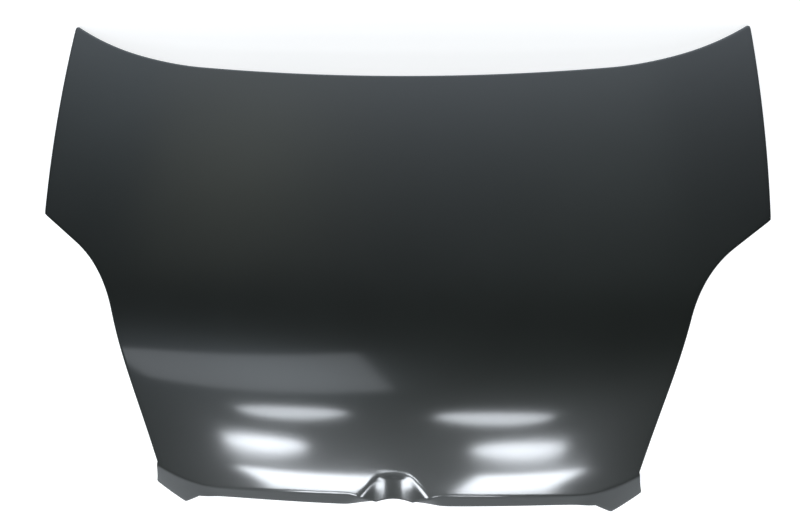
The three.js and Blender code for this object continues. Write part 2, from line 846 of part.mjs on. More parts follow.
const strikerPlate = addPiece('striker_plate', new THREE.ExtrudeGeometry(
  plateShape(strikerPlateWidth, strikerPlateLength, 8),
  { depth: strikerPlateThickness, bevelEnabled: false },
), electrocoatInside);
const strikerPlateFoot = -frameThickness - seatGap - strikerPlateThickness;
onPad(strikerPlate, strikerPad, 1, strikerPlateFoot);

const strikerLoop = addPiece('striker_loop', strikerLoopGeometry(), electrocoatInside);
onPad(strikerLoop, strikerPad, 1, strikerPlateFoot - seatGap);

// Wanted places of the dabs on the right half, for each mouth that has a right half of its own
const dabPlaces = {
  rear: [[210, 90], [170, 262]],
  middle: [[110, 338], [185, 440], [60, 604]],
  corner: [[560, 262]],
  side: [[300, 490], [430, 560], [270, 672]],
};

sides.forEach(([word, side]) => {
  Object.entries(dabPlaces).forEach(([mouthWord, places]) => {
    const mouth = mouths[mouthWord] ?? mouths[`${mouthWord}_${word}`];
    places.forEach(([x, s], i) => {
      const site = dabSite(mouth, new THREE.Vector2(side * x, s));
      addPiece(`mastic_dab_${mouthWord}_${word}_${i + 1}`, dabGeometry(site.centre, site.along), mastic);
    });
  });
});

// At rest the bonnet stands on its two front ears and its two rear tips, all at the floor's level

function worldPoints() {
  bonnet.updateMatrixWorld(true);
  return bonnet.children.flatMap((mesh) => {
    const positions = mesh.geometry.getAttribute('position');
    return Array.from({ length: positions.count }, (_, i) => (
      new THREE.Vector3().fromBufferAttribute(positions, i).applyMatrix4(mesh.matrixWorld)));
  });
}

function lowest(points) {
  return points.reduce((low, point) => (point.z < low.z ? point : low));
}

function settle() {
  for (let pass = 0; pass < 6; pass += 1) {
    const points = worldPoints();
    const box = new THREE.Box3().setFromPoints(points);
    const middleY = (box.min.y + box.max.y) / 2;
    const rear = lowest(points.filter((point) => point.y > middleY));
    const front = lowest(points.filter((point) => point.y <= middleY));
    bonnet.rotation.x -= Math.atan2(rear.z - front.z, rear.y - front.y);
  }
  const box = new THREE.Box3().setFromPoints(worldPoints());
  bonnet.position.y -= (box.min.y + box.max.y) / 2;
  bonnet.position.z -= box.min.z;
}

settle();

export default bonnet;
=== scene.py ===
"""A black electrocoated car bonnet, lying skin up on a pale studio floor.

X runs across the car, -Y towards the nose, +Z up, all in metres. A place on the panel is given by
x, across the car, by s, the way along the skin from the middle of the rear edge towards the nose,
and by depth, the distance under the outer face.
"""

import bpy
import numpy as np
from mathutils import Matrix, Vector
from mathutils.geometry import delaunay_2d_cdt


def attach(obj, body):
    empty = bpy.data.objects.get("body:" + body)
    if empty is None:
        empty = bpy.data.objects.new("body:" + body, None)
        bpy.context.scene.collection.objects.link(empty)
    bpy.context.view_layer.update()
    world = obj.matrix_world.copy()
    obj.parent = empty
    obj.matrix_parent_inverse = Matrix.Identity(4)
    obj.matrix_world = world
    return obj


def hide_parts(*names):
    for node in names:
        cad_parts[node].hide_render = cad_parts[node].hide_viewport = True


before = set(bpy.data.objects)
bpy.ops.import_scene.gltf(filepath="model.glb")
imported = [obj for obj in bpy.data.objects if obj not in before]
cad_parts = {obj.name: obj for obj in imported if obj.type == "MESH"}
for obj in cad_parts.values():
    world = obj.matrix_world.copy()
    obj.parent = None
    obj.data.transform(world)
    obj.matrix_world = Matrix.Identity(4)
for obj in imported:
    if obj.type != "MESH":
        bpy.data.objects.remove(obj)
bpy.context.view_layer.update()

MM = 0.001
BODY = "root"

# Longest sides of the inner frame's faces: on its levels, along its loops and in its hem band
LEVEL_STEP = 0.012
LOOP_STEP = 0.010
BAND_STEP = 0.006

# Main sizes: across the rear tips, and along the middle of the skin from rear edge to front edge
BONNET_WIDTH = 1.440
SKIN_LENGTH = 0.829

# Outline of the outer skin, right half, in x and s
REAR_TIP_X = BONNET_WIDTH / 2
REAR_EDGE_RADIUS = 2.170
REAR_SWEEP_START = REAR_TIP_X - 0.320
REAR_SWEEP_RADIUS = 0.560
SIDE_BOW = 0.0045
LAMP_CORNER = (REAR_TIP_X - 0.041, SKIN_LENGTH - 0.566)
LAMP_KNEE = (REAR_TIP_X - 0.192, SKIN_LENGTH - 0.439)
LAMP_KNEE_RADIUS = 0.300
WAIST = (REAR_TIP_X - 0.301, SKIN_LENGTH - 0.057)
EAR_CORNER = (REAR_TIP_X - 0.280, SKIN_LENGTH + 0.0045)
EAR_TIP = (REAR_TIP_X - 0.3325, SKIN_LENGTH + 0.0412)
EAR_FOOT = (REAR_TIP_X - 0.369, SKIN_LENGTH + 0.011)
FRONT_EDGE_RADIUS = 11.5

# Form of the outer skin: slopes in degrees along the middle line, then the cross curves
REAR_SLOPE = 3.7
BODY_SLOPE = 8.7
NOSE_SLOPE = 26.5
NOSE_START = SKIN_LENGTH - 0.469
NOSE_END = SKIN_LENGTH - 0.049
NOSE_TIP_SLOPE = 4
NOSE_TIP_START = SKIN_LENGTH - 0.089
NOSE_TIP_END = SKIN_LENGTH - 0.029
REAR_CROWN_RADIUS = 4.570
FRONT_CROWN_RADIUS = 3.420
NOSE_BOW_RADIUS = 2.560
FRONT_FORM_START = SKIN_LENGTH - 0.479
FRONT_FORM_END = SKIN_LENGTH - 0.029
SHOULDER_X = REAR_TIP_X - 0.220
SHOULDER_BLEND = 0.060
SHOULDER_TILT = 0.11
SHOULDER_FRONT_SHARE = 0.4

# Front lip: the skin turns down along a crease that follows the front edge and climbs to the waist,
# and turns a little less towards the ears
LIP_SLOPE = np.radians(30)
LIP_EAR_EASE = np.radians(6)
LIP_RADIUS = 0.014
LIP_SETBACK = 0.034
LIP_BOW_RADIUS = 4.500
LIP_CLIMB_START = REAR_TIP_X - 0.420
LIP_CLIMB_RADIUS = 0.200

# Scallop in the middle of the lip, left bare: a channel that widens and deepens towards an arched
# edge, and in which the skin doesn't turn down
SCALLOP_TOP_SETBACK = 0.071
SCALLOP_TOP_ROUNDING = 0.012
SCALLOP_TOP_HALF_WIDTH = 0.030
SCALLOP_TOP_DEPTH = 0.0025
SCALLOP_FOOT_SETBACK = 0.014
SCALLOP_FOOT_HALF_WIDTH = 0.066
SCALLOP_FOOT_DEPTH = 0.014
SCALLOP_RIM_SHARE = 0.15
ARCH_HALF_WIDTH = 0.080
ARCH_DEPTH = 0.020
ARCH_LIP_RELEASE = 0.032

# Sheet metal and hem
SKIN_THICKNESS = 0.0008
FRAME_THICKNESS = 0.0007
SEAT_GAP = 0.0003
HEM_FLANGE = 0.009
HEM_BEND_STEPS = 6

# Inner frame: depth of its levels under the outer face, and the width of its steps
FRAME_EDGE_INSET = 0.0021
HEM_BAND_WIDTH = 0.014
BAND_CORNER_REACH = 2.3 * HEM_BAND_WIDTH
BEAM_FOOT_INSET = 0.022
BEAM_FOOT_DEPTH = 0.0032
BEAM_WALL_WIDTH = 0.016
BEAM_CORNER_RADIUS = 0.045
BEAM_FRONT_INSET = 0.044
BEAM_EAR_CLEARANCE = 0.012
SCALLOP_CLEARANCE = 0.004
CREST_DEPTH = 0.025
MOUTH_FLANGE_DEPTH = SKIN_THICKNESS + 0.003
MOUTH_FLANGE_WIDTH = 0.018
MOUTH_WALL_WIDTH = 0.016
MOUTH_CORNER_RADIUS = 0.026

# Openings of the inner frame, corners in x and s on the right half or across the middle
RIB_REAR_X = REAR_TIP_X - 0.120
RIB_MEET_S = SKIN_LENGTH - 0.044
RIB_HALF_GAP = 0.068
REAR_MOUTH_TOP = 0.106
REAR_MOUTH_TOP_SIDE = 0.074
CROSS_RIB_REAR = 0.250
CROSS_RIB_FRONT = 0.350
MIDDLE_MOUTH_END = SKIN_LENGTH - 0.237
SIDE_MOUTH_KNEE = SKIN_LENGTH - 0.359
SIDE_MOUTH_END = SKIN_LENGTH - 0.169
SIDE_MOUTH_INSET = 0.108
CORNER_MOUTH_TOP = 0.108

# Hinge pads, striker pad and the small holes of the frame: middle, width and length, rise and ramp
HINGE_PAD = {"x": REAR_TIP_X - 0.108, "s": -0.014, "size": (0.046, 0.092), "rise": 0.004, "ramp": 0.006}
STRIKER_PAD = {"x": 0.0, "s": SKIN_LENGTH - 0.113, "size": (0.104, 0.044), "rise": 0.003, "ramp": 0.006}
PAD_CORNER_RADIUS = 0.008
HINGE_BOLT_SPACING = 0.052
BOLT_HOLE_DIAMETER = 0.009
DRAIN_HOLE_DIAMETER = 0.014

# How the bonnet lies on its rear tips and front ears: its turn about X and the place of its origin
REST_PITCH = np.radians(-13.2304)
REST_PLACE = np.array([0.0, 0.3020094, 0.1198357])

# Camera: a 35 mm lens on a 36 mm wide frame, placed by its direction from the panel's own axes
LENS_MM = 35.0
CAMERA_AZIMUTH = np.radians(5.140)
CAMERA_ELEVATION = np.radians(60.867)
CAMERA_ROLL = np.radians(-3.867)
CAMERA_DISTANCE = 1.537872
CAMERA_TARGET = np.array([-0.003689, -0.295082, -0.210161])


# Form of the panel

def smoother(value, start, end):
    t = np.clip((value - start) / (end - start), 0, 1)
    return t * t * t * (t * (6 * t - 15) + 10)


def hump(share):
    """One in the middle, falling smoothly to nothing at a share of one."""
    return np.clip(1 - share * share, 0, None) ** 2


def rear_edge(x):
    beyond = np.maximum(0, np.abs(x) - REAR_SWEEP_START)
    return -(x * x) / (2 * REAR_EDGE_RADIUS) - beyond * beyond / (2 * REAR_SWEEP_RADIUS)


def front_bow(x):
    return SKIN_LENGTH + x * x / (2 * FRONT_EDGE_RADIUS)


def front_edge(x):
    across = np.abs(x)
    foot_x, foot_s = EAR_FOOT
    middle = (front_bow(across) + (foot_s - front_bow(foot_x)) * (across / foot_x) ** 8
              - ARCH_DEPTH * hump(across / ARCH_HALF_WIDTH))
    ear = np.interp(across, [foot_x, EAR_TIP[0], EAR_CORNER[0]], [foot_s, EAR_TIP[1], EAR_CORNER[1]])
    return np.where(across <= foot_x, middle, ear)


REAR_TIP_S = float(rear_edge(np.array(REAR_TIP_X)))


def lamp_arc_ends():
    knee = np.array(LAMP_KNEE)
    before = np.array(LAMP_CORNER) - knee
    after = np.array(WAIST) - knee
    before /= np.linalg.norm(before)
    after /= np.linalg.norm(after)
    reach = LAMP_KNEE_RADIUS * np.tan((np.pi - np.arccos(before @ after)) / 2)
    return knee + before * reach, knee + after * reach


ARC_START, ARC_END = lamp_arc_ends()


def half_width(s):
    along = (s - REAR_TIP_S) / (LAMP_CORNER[1] - REAR_TIP_S)
    side = REAR_TIP_X + (LAMP_CORNER[0] - REAR_TIP_X) * along + 4 * SIDE_BOW * along * (1 - along)
    cut = np.interp(s, [LAMP_CORNER[1], ARC_START[1]], [LAMP_CORNER[0], ARC_START[0]])
    a = ARC_START[1] - 2 * LAMP_KNEE[1] + ARC_END[1]
    b = 2 * (LAMP_KNEE[1] - ARC_START[1])
    t = (-b + np.sqrt(np.maximum(0, b * b - 4 * a * (ARC_START[1] - s)))) / (2 * a)
    arc = (1 - t) ** 2 * ARC_START[0] + 2 * t * (1 - t) * LAMP_KNEE[0] + t * t * ARC_END[0]
    low = np.interp(s, [ARC_END[1], WAIST[1], EAR_CORNER[1]], [ARC_END[0], WAIST[0], EAR_CORNER[0]])
    nose = np.where(s <= ARC_START[1], cut, np.where(s <= ARC_END[1], arc, low))
    return np.where(s <= LAMP_CORNER[1], side, nose)


PROFILE_STEP = 0.001
PROFILE_S = np.arange(REAR_TIP_S - 0.06, EAR_TIP[1] + 0.06, PROFILE_STEP)


def middle_profile():
    """Y and Z of the middle line at PROFILE_S, as the sum of small steps at the local slope."""
    s = PROFILE_S[:-1] + PROFILE_STEP / 2
    slope = np.radians(REAR_SLOPE + BODY_SLOPE * s / SKIN_LENGTH
                       + NOSE_SLOPE * smoother(s, NOSE_START, NOSE_END)
                       + NOSE_TIP_SLOPE * smoother(s, NOSE_TIP_START, NOSE_TIP_END))
    y = np.concatenate([[0], np.cumsum(-np.cos(slope) * PROFILE_STEP)])
    z = np.concatenate([[0], np.cumsum(-np.sin(slope) * PROFILE_STEP)])
    return y - np.interp(0, PROFILE_S, y), z - np.interp(0, PROFILE_S, z)


PROFILE_Y, PROFILE_Z = middle_profile()


def open_point(x, s):
    """The panel before its lip is turned down."""
    front = smoother(s, FRONT_FORM_START, FRONT_FORM_END)
    across = np.abs(x)
    bow = front * x * x / (2 * NOSE_BOW_RADIUS)
    crown = x * x / 2 * ((1 - front) / REAR_CROWN_RADIUS + front / FRONT_CROWN_RADIUS)
    bend = np.hypot(across - SHOULDER_X, SHOULDER_BLEND) + across - np.hypot(SHOULDER_X, SHOULDER_BLEND)
    shoulder = SHOULDER_TILT / 2 * bend * (1 - front * (1 - SHOULDER_FRONT_SHARE))
    y = np.interp(s, PROFILE_S, PROFILE_Y) + bow
    z = np.interp(s, PROFILE_S, PROFILE_Z) - crown - shoulder
    return np.stack([x + 0 * s, y, z], -1)


def normal_of(surface, x, s):
    reach = 0.0005
    across = surface(x + reach, s) - surface(x - reach, s)
    along = surface(x, s + reach) - surface(x, s - reach)
    normal = np.cross(along, across)
    return normal / np.linalg.norm(normal, axis=-1, keepdims=True)


def lip_line(x):
    """Where the lip's crease, the middle of its arc, runs at x."""
    outside = np.maximum(0, np.abs(x) - LIP_CLIMB_START)
    return (SKIN_LENGTH - LIP_SETBACK + x * x / (2 * LIP_BOW_RADIUS)
            - outside * outside / (2 * LIP_CLIMB_RADIUS) + ARCH_LIP_RELEASE * hump(x / ARCH_HALF_WIDTH))


def form_point(x, s):
    """The panel with its lip, which turns down round an arc and then runs straight."""
    slope = LIP_SLOPE - LIP_EAR_EASE * smoother(np.abs(x), LIP_CLIMB_START, EAR_FOOT[0])
    beyond = np.maximum(0, s - lip_line(x) + LIP_RADIUS * np.tan(slope / 2))
    turn = np.minimum(beyond / LIP_RADIUS, slope)
    straight = beyond - turn * LIP_RADIUS
    along = LIP_RADIUS * np.sin(turn) + straight * np.cos(turn)
    drop = LIP_RADIUS * (1 - np.cos(turn)) + straight * np.sin(turn)
    level = s - beyond + along
    return open_point(x, level) - normal_of(open_point, x, level) * drop[..., None]


def scallop(x, s):
    """Depth of the scallop: round across, with a rim whose edge is rounded over a share of its width."""
    top = SKIN_LENGTH - SCALLOP_TOP_SETBACK
    way = np.maximum(0, s - top) / (SCALLOP_TOP_SETBACK - SCALLOP_FOOT_SETBACK)
    half = SCALLOP_TOP_HALF_WIDTH + (SCALLOP_FOOT_HALF_WIDTH - SCALLOP_TOP_HALF_WIDTH) * way
    depth = SCALLOP_TOP_DEPTH + (SCALLOP_FOOT_DEPTH - SCALLOP_TOP_DEPTH) * way
    rounded = np.logaddexp(0, (1 - (x / half) ** 2) / SCALLOP_RIM_SHARE)
    return (depth * SCALLOP_RIM_SHARE * rounded
            * smoother(s, top - SCALLOP_TOP_ROUNDING, top + SCALLOP_TOP_ROUNDING))


def panel_point(x, s, depth):
    x, s = np.asarray(x, float), np.asarray(s, float)
    return form_point(x, s) - normal_of(form_point, x, s) * (depth + scallop(x, s))[..., None]


def at_rest(points):
    """From the panel's own axes to the floor's."""
    c, d = np.cos(REST_PITCH), np.sin(REST_PITCH)
    turn = np.array([[1, 0, 0], [0, c, -d], [0, d, c]])
    return points @ turn.T + REST_PLACE


# Loops in the x and s plane

def turned(loop):
    """Twice the area of a flat loop, positive where x turns towards s."""
    after = np.roll(loop, -1, 0)
    return np.sum(loop[:, 0] * after[:, 1] - after[:, 0] * loop[:, 1])


def mitres(loop):
    """Outward vectors that move each corner of a loop so that its edges move out by one."""
    along = np.roll(loop, -1, 0) - loop
    along /= np.linalg.norm(along, axis=1, keepdims=True)
    side = np.stack([along[:, 1], -along[:, 0]], 1) * np.sign(turned(loop))
    before = np.roll(side, 1, 0)
    return (before + side) / (1 + np.sum(before * side, 1, keepdims=True))


def grow(loop, distance):
    return loop + mitres(loop) * distance


def mirrored(loop):
    return np.asarray(loop)[::-1] * (-1, 1)


def across_middle(corners):
    return np.concatenate([corners, mirrored(corners)])


def rounded_loop(corners, radius, bend_steps, longest=LOOP_STEP):
    """A closed loop with round corners, its straight runs cut into even steps."""
    corners = np.asarray(corners, float)
    share = np.linspace(0, 1, bend_steps + 1)[:, None]
    bends = []
    for i, corner in enumerate(corners):
        before, after = corners[i - 1] - corner, corners[(i + 1) % len(corners)] - corner
        lengths = np.linalg.norm(before), np.linalg.norm(after)
        half_angle = np.arccos(np.clip(before @ after / (lengths[0] * lengths[1]), -1, 1)) / 2
        if half_angle > np.radians(80):
            bends.append(corner[None, :])
            continue
        reach = min(radius / np.tan(half_angle), 0.45 * min(lengths))
        start, end = corner + before * reach / lengths[0], corner + after * reach / lengths[1]
        bends.append((1 - share) ** 2 * start + 2 * share * (1 - share) * corner + share ** 2 * end)
    loop = []
    for bend, following in zip(bends, bends[1:] + bends[:1]):
        run = following[0] - bend[-1]
        count = max(1, int(np.ceil(np.linalg.norm(run) / longest)))
        loop += list(bend) + [bend[-1] + run * k / count for k in range(1, count)]
    return np.array(loop)


def circle_loop(centre, diameter, sides=24):
    angles = 2 * np.pi * (np.arange(sides) + 0.5) / sides
    return np.asarray(centre) + np.stack([np.cos(angles), np.sin(angles)], 1) * diameter / 2


def inside(points, loop):
    """Which points lie in a loop, by how often a line across the panel meets it."""
    after = np.roll(loop, -1, 0)
    x, s = points[:, :1], points[:, 1:]
    spans = (loop[:, 1] > s) != (after[:, 1] > s)
    rise = np.where(after[:, 1] == loop[:, 1], 1, after[:, 1] - loop[:, 1])
    crossing = loop[:, 0] + (s - loop[:, 1]) * (after[:, 0] - loop[:, 0]) / rise
    return np.sum(spans & (x < crossing), 1) % 2 == 1


# Making meshes

def new_piece(name, points, faces, material, smooth=True):
    mesh = bpy.data.meshes.new(name)
    mesh.from_pydata(at_rest(np.asarray(points)).tolist(), [], faces)
    mesh.validate()
    mesh.polygons.foreach_set("use_smooth", [smooth] * len(mesh.polygons))
    mesh.materials.append(material)
    piece = bpy.data.objects.new(name, mesh)
    bpy.context.scene.collection.objects.link(piece)
    return piece


# Materials

def linear(hex_colour):
    """sRGB hex to linear RGBA."""
    parts = [int(hex_colour[i:i + 2], 16) / 255 for i in (1, 3, 5)]
    return tuple(p / 12.92 if p <= 0.04045 else ((p + 0.055) / 1.055) ** 2.4 for p in parts) + (1.0,)


def add_node(tree, kind, settings=None, **inputs):
    """Adds a node. settings are its properties, and inputs its sockets by name or number, as values
    or as the sockets to link from."""
    node = tree.nodes.new(kind)
    for key, value in (settings or {}).items():
        setattr(node, key, value)
    for key, value in inputs.items():
        socket = node.inputs[int(key[1:]) if key[0] == "i" and key[1:].isdigit() else key.replace("_", " ")]
        if isinstance(value, bpy.types.NodeSocket):
            tree.links.new(value, socket)
        else:
            socket.default_value = value
    return node


def new_material(name):
    material = bpy.data.materials.new(name)
    material.use_nodes = True
    tree = material.node_tree
    tree.nodes.clear()
    output = add_node(tree, "ShaderNodeOutputMaterial")
    return material, tree, output


def ramp(tree, factor, stops):
    """A colour ramp through stops of position and hex colour."""
    node = add_node(tree, "ShaderNodeValToRGB", Fac=factor)
    elements = node.color_ramp.elements
    while len(elements) < len(stops):
        elements.new(0.5)
    for element, (position, colour) in zip(elements, stops):
        element.position = position
        element.color = linear(colour)
    return node


def electrocoat(name, tones, gloss, film, peel_height):
    """Cathodic electrocoat primer on pressed steel, baked: a thin film, glossy on top, that flows into
    a faint orange peel, a few millimetres from crest to crest, over the drawn steel's finer grain.
    gloss is the film's roughness, and film how much of it there is."""
    peel_size = 3.5 * MM
    grain_size = 0.7 * MM
    cloud_size = 180 * MM
    material, tree, output = new_material(name)
    place = add_node(tree, "ShaderNodeTexCoord").outputs["Object"]
    clouds = add_node(tree, "ShaderNodeTexNoise", Vector=place, Scale=1 / cloud_size, Detail=3.0)
    peel = add_node(tree, "ShaderNodeTexNoise", Vector=place, Scale=1 / peel_size, Detail=1.0)
    grain = add_node(tree, "ShaderNodeTexNoise", Vector=place, Scale=1 / grain_size, Detail=1.0)
    colour = ramp(tree, clouds.outputs["Fac"], [(0.3, tones[0]), (0.7, tones[1])])
    fine = add_node(tree, "ShaderNodeBump", Height=grain.outputs["Fac"], Strength=0.25,
                    Distance=0.01 * MM)
    bump = add_node(tree, "ShaderNodeBump", Height=peel.outputs["Fac"], Strength=1.0,
                    Distance=peel_height, Normal=fine.outputs["Normal"])
    paint = add_node(tree, "ShaderNodeBsdfPrincipled", Base_Color=colour.outputs["Color"],
                     Roughness=0.42, IOR=1.5, Specular_IOR_Level=0.2, Coat_Weight=film,
                     Coat_Roughness=gloss, Coat_IOR=1.5, Normal=bump.outputs["Normal"],
                     Coat_Normal=bump.outputs["Normal"])
    tree.links.new(paint.outputs[0], output.inputs["Surface"])
    return material


def baked_mastic():
    """Anti-flutter mastic, baked with the primer: matt, slightly pitted rubber."""
    pit_size = 1.2 * MM
    material, tree, output = new_material("baked_mastic")
    place = add_node(tree, "ShaderNodeTexCoord").outputs["Object"]
    pits = add_node(tree, "ShaderNodeTexNoise", Vector=place, Scale=1 / pit_size, Detail=3.0)
    colour = ramp(tree, pits.outputs["Fac"], [(0.3, "#3b3a38"), (0.75, "#4b4a47")])
    bump = add_node(tree, "ShaderNodeBump", Height=pits.outputs["Fac"], Strength=0.6,
                    Distance=0.15 * MM)
    rubber = add_node(tree, "ShaderNodeBsdfPrincipled", Base_Color=colour.outputs["Color"],
                      Roughness=0.8, IOR=1.5, Normal=bump.outputs["Normal"])
    tree.links.new(rubber.outputs[0], output.inputs["Surface"])
    return material


skin_coat = electrocoat("black_electrocoat_on_outer_skin", ("#161816", "#191b19"), 0.12, 1.0, 0.004 * MM)
frame_coat = electrocoat("black_electrocoat_on_frame", ("#191b1a", "#1f2121"), 0.35, 0.7, 0.02 * MM)
hardware_coat = electrocoat("black_electrocoat_on_hardware", ("#1b1d1c", "#212322"), 0.30, 0.7, 0.02 * MM)
mastic = baked_mastic()


# Outer skin: a fine grid pressed to the panel's form, with its edge hemmed back

def even_steps(start, end, longest):
    count = max(1, int(np.ceil((end - start) / longest - 1e-6)))
    return list(start + (end - start) * np.arange(1, count + 1) / count)


def column_shares():
    arch_share = ARCH_HALF_WIDTH / EAR_CORNER[0]
    tip_share = EAR_TIP[0] / EAR_CORNER[0]
    foot_share = EAR_FOOT[0] / EAR_CORNER[0]
    half = (even_steps(0, arch_share, 0.006) + even_steps(arch_share, foot_share, 0.0135)
            + even_steps(foot_share, tip_share, 0.012) + even_steps(tip_share, 1, 0.012))
    return np.array([-share for share in reversed(half)] + [0.0] + half)


CREASE_START = WAIST[1] - 0.033
LAST_ROW = 0.0062      # leaves room for the bend of the hem


def row_stations():
    return np.array([REAR_TIP_S] + even_steps(REAR_TIP_S, LAMP_CORNER[1], 0.008)
                    + even_steps(LAMP_CORNER[1], ARC_START[1], 0.006)
                    + even_steps(ARC_START[1], ARC_END[1], 0.006)
                    + even_steps(ARC_END[1], CREASE_START, 0.0065)
                    + even_steps(CREASE_START, WAIST[1], 0.0025)
                    + even_steps(WAIST[1], EAR_CORNER[1] - LAST_ROW, 0.0022) + [EAR_CORNER[1]])


def grid_places(shares, stations):
    s = stations[:, None]
    x = shares[None, :] * half_width(s)
    to_lamp = np.clip((s - REAR_TIP_S) / (LAMP_CORNER[1] - REAR_TIP_S), 0, 1)
    past_waist = np.clip((s - WAIST[1]) / (EAR_CORNER[1] - WAIST[1]), 0, 1)
    rear_shift = (rear_edge(x) - REAR_TIP_S) * (1 - to_lamp)
    front_shift = (front_edge(x) - EAR_CORNER[1]) * past_waist
    return np.stack([x, s + rear_shift + front_shift], -1)


def border_cells(rows, columns):
    last_row, last_column = rows - 1, columns - 1
    return ([(0, c) for c in range(last_column)] + [(r, last_column) for r in range(last_row)]
            + [(last_row, c) for c in range(last_column, 0, -1)]
            + [(r, 0) for r in range(last_row, 0, -1)])


CORNER_RADII = [(REAR_TIP_X, REAR_TIP_S, 0.005), (*LAMP_CORNER, 0.007), (*EAR_CORNER, 0.005),
                (*EAR_TIP, 0.004)]


def corner_data(loop):
    """For each outward corner of the outline: its index, half angle and fillet radius."""
    found = []
    for x, s, radius in CORNER_RADII:
        for side in (1, -1):
            i = int(np.argmin(np.hypot(loop[:, 0] - side * x, loop[:, 1] - s)))
            before = loop[i - 1] - loop[i]
            after = loop[(i + 1) % len(loop)] - loop[i]
            before /= np.linalg.norm(before)
            after /= np.linalg.norm(after)
            found.append((loop[i].copy(), before, after, np.arccos(before @ after) / 2, radius))
    return found


def round_corners(loop):
    """Moves the points near each outward corner of the outline on to its fillet."""
    rounded = loop.copy()
    for corner, before, after, half_angle, radius in corner_data(loop):
        bisector = (before + after) / np.linalg.norm(before + after)
        centre = corner + bisector * radius / np.sin(half_angle)
        away = loop - corner
        near = np.linalg.norm(away, axis=1) < radius / np.tan(half_angle)
        spoke = loop[near] - centre
        rounded[near] = centre + spoke * radius / np.linalg.norm(spoke, axis=1, keepdims=True)
    return rounded


def hem_room(loop):
    """How far each outline point can move inwards before the hem would cross at a corner."""
    room = np.full(len(loop), BONNET_WIDTH)
    for corner, _, _, half_angle, radius in corner_data(loop):
        away = np.linalg.norm(loop - corner, axis=1)
        room = np.minimum(room, 0.9 * np.maximum(away * np.tan(half_angle), radius))
    return room


HEM_CLASP = FRAME_THICKNESS + 2 * SEAT_GAP
HEM_HEIGHT = 2 * SKIN_THICKNESS + HEM_CLASP
HEM_INSET = HEM_HEIGHT / 2


def hem_section():
    """Reach past the bend's centre and depth under the outer face, round the fold and back inside."""
    angles = np.pi * np.arange(1, HEM_BEND_STEPS + 1) / HEM_BEND_STEPS
    outer = [(HEM_INSET * np.sin(a), HEM_INSET * (1 - np.cos(a))) for a in angles]
    inner = [(HEM_CLASP / 2 * np.sin(a), HEM_INSET - HEM_CLASP / 2 * np.cos(a)) for a in angles[::-1]]
    return outer + [(-HEM_FLANGE, HEM_HEIGHT), (-HEM_FLANGE, HEM_HEIGHT - SKIN_THICKNESS)] + inner


def make_outer_skin():
    shares, stations = column_shares(), row_stations()
    places = grid_places(shares, stations)
    rows, columns = places.shape[:2]
    border = border_cells(rows, columns)
    rim = np.array([r * columns + c for r, c in border])
    flat = places.reshape(-1, 2)
    sharp = flat[rim]
    outline = round_corners(sharp)
    out = mitres(outline)
    room = hem_room(sharp)
    flat[rim] = outline - out * HEM_INSET
    top = panel_point(flat[:, 0], flat[:, 1], np.zeros(len(flat)))
    under = panel_point(flat[:, 0], flat[:, 1], np.full(len(flat), SKIN_THICKNESS))
    points = [top, under]
    rings = []
    count = 2 * len(flat)
    for reach, depth in hem_section():
        inwards = np.minimum(HEM_INSET - reach, np.maximum(room, HEM_INSET))
        moved = outline - out * inwards[:, None]
        points.append(panel_point(moved[:, 0], moved[:, 1], np.full(len(moved), depth)))
        rings.append(np.arange(count, count + len(moved)))
        count += len(moved)
    cell = (np.arange(rows - 1)[:, None] * columns + np.arange(columns - 1)[None, :]).ravel()
    upper = np.stack([cell, cell + columns, cell + columns + 1, cell + 1], 1)
    lower = upper[:, ::-1] + len(flat)
    bands = [rim] + rings + [rim + len(flat)]
    faces = [upper, lower]
    for first, second in zip(bands, bands[1:]):
        faces.append(np.stack([first, np.roll(first, -1), np.roll(second, -1), second], 1))
    return new_piece("outer_skin_pressing", np.concatenate(points), np.concatenate(faces).tolist(),
                     skin_coat)


skin = make_outer_skin()
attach(skin, BODY)
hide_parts("outer_skin")


# Inner frame: loops in the x and s plane pressed to the panel's form, then joined and thickened

def rib_x(s):
    return RIB_REAR_X * (1 - s / RIB_MEET_S)


def edge_x(s):
    return float(half_width(np.array(s)))


def edge_s(x):
    return float(rear_edge(np.array(x)))


def side_x(s):
    return edge_x(s) - SIDE_MOUTH_INSET


def mouth_loops():
    rear = across_middle([
        (rib_x(REAR_MOUTH_TOP_SIDE) - RIB_HALF_GAP, REAR_MOUTH_TOP_SIDE),
        (rib_x(CROSS_RIB_REAR) - RIB_HALF_GAP, CROSS_RIB_REAR)])
    middle = across_middle([
        (rib_x(CROSS_RIB_FRONT) - RIB_HALF_GAP, CROSS_RIB_FRONT),
        (rib_x(MIDDLE_MOUTH_END) - RIB_HALF_GAP, MIDDLE_MOUTH_END)])
    corner = [
        (side_x(CORNER_MOUTH_TOP), CORNER_MOUTH_TOP), (side_x(CROSS_RIB_REAR), CROSS_RIB_REAR),
        (rib_x(CROSS_RIB_REAR) + RIB_HALF_GAP, CROSS_RIB_REAR)]
    side = [
        (rib_x(CROSS_RIB_FRONT) + RIB_HALF_GAP, CROSS_RIB_FRONT),
        (side_x(CROSS_RIB_FRONT), CROSS_RIB_FRONT),
        (side_x(SIDE_MOUTH_KNEE), SIDE_MOUTH_KNEE),
        (side_x(SIDE_MOUTH_END), SIDE_MOUTH_END),
        (rib_x(SIDE_MOUTH_END) + RIB_HALF_GAP, SIDE_MOUTH_END)]
    rear = np.concatenate([rear, [(0, REAR_MOUTH_TOP)]])
    loops = [rounded_loop(corners, MOUTH_CORNER_RADIUS, 8) for corners in (rear, middle, corner, side)]
    return loops + [mirrored(loop) for loop in loops[2:]]


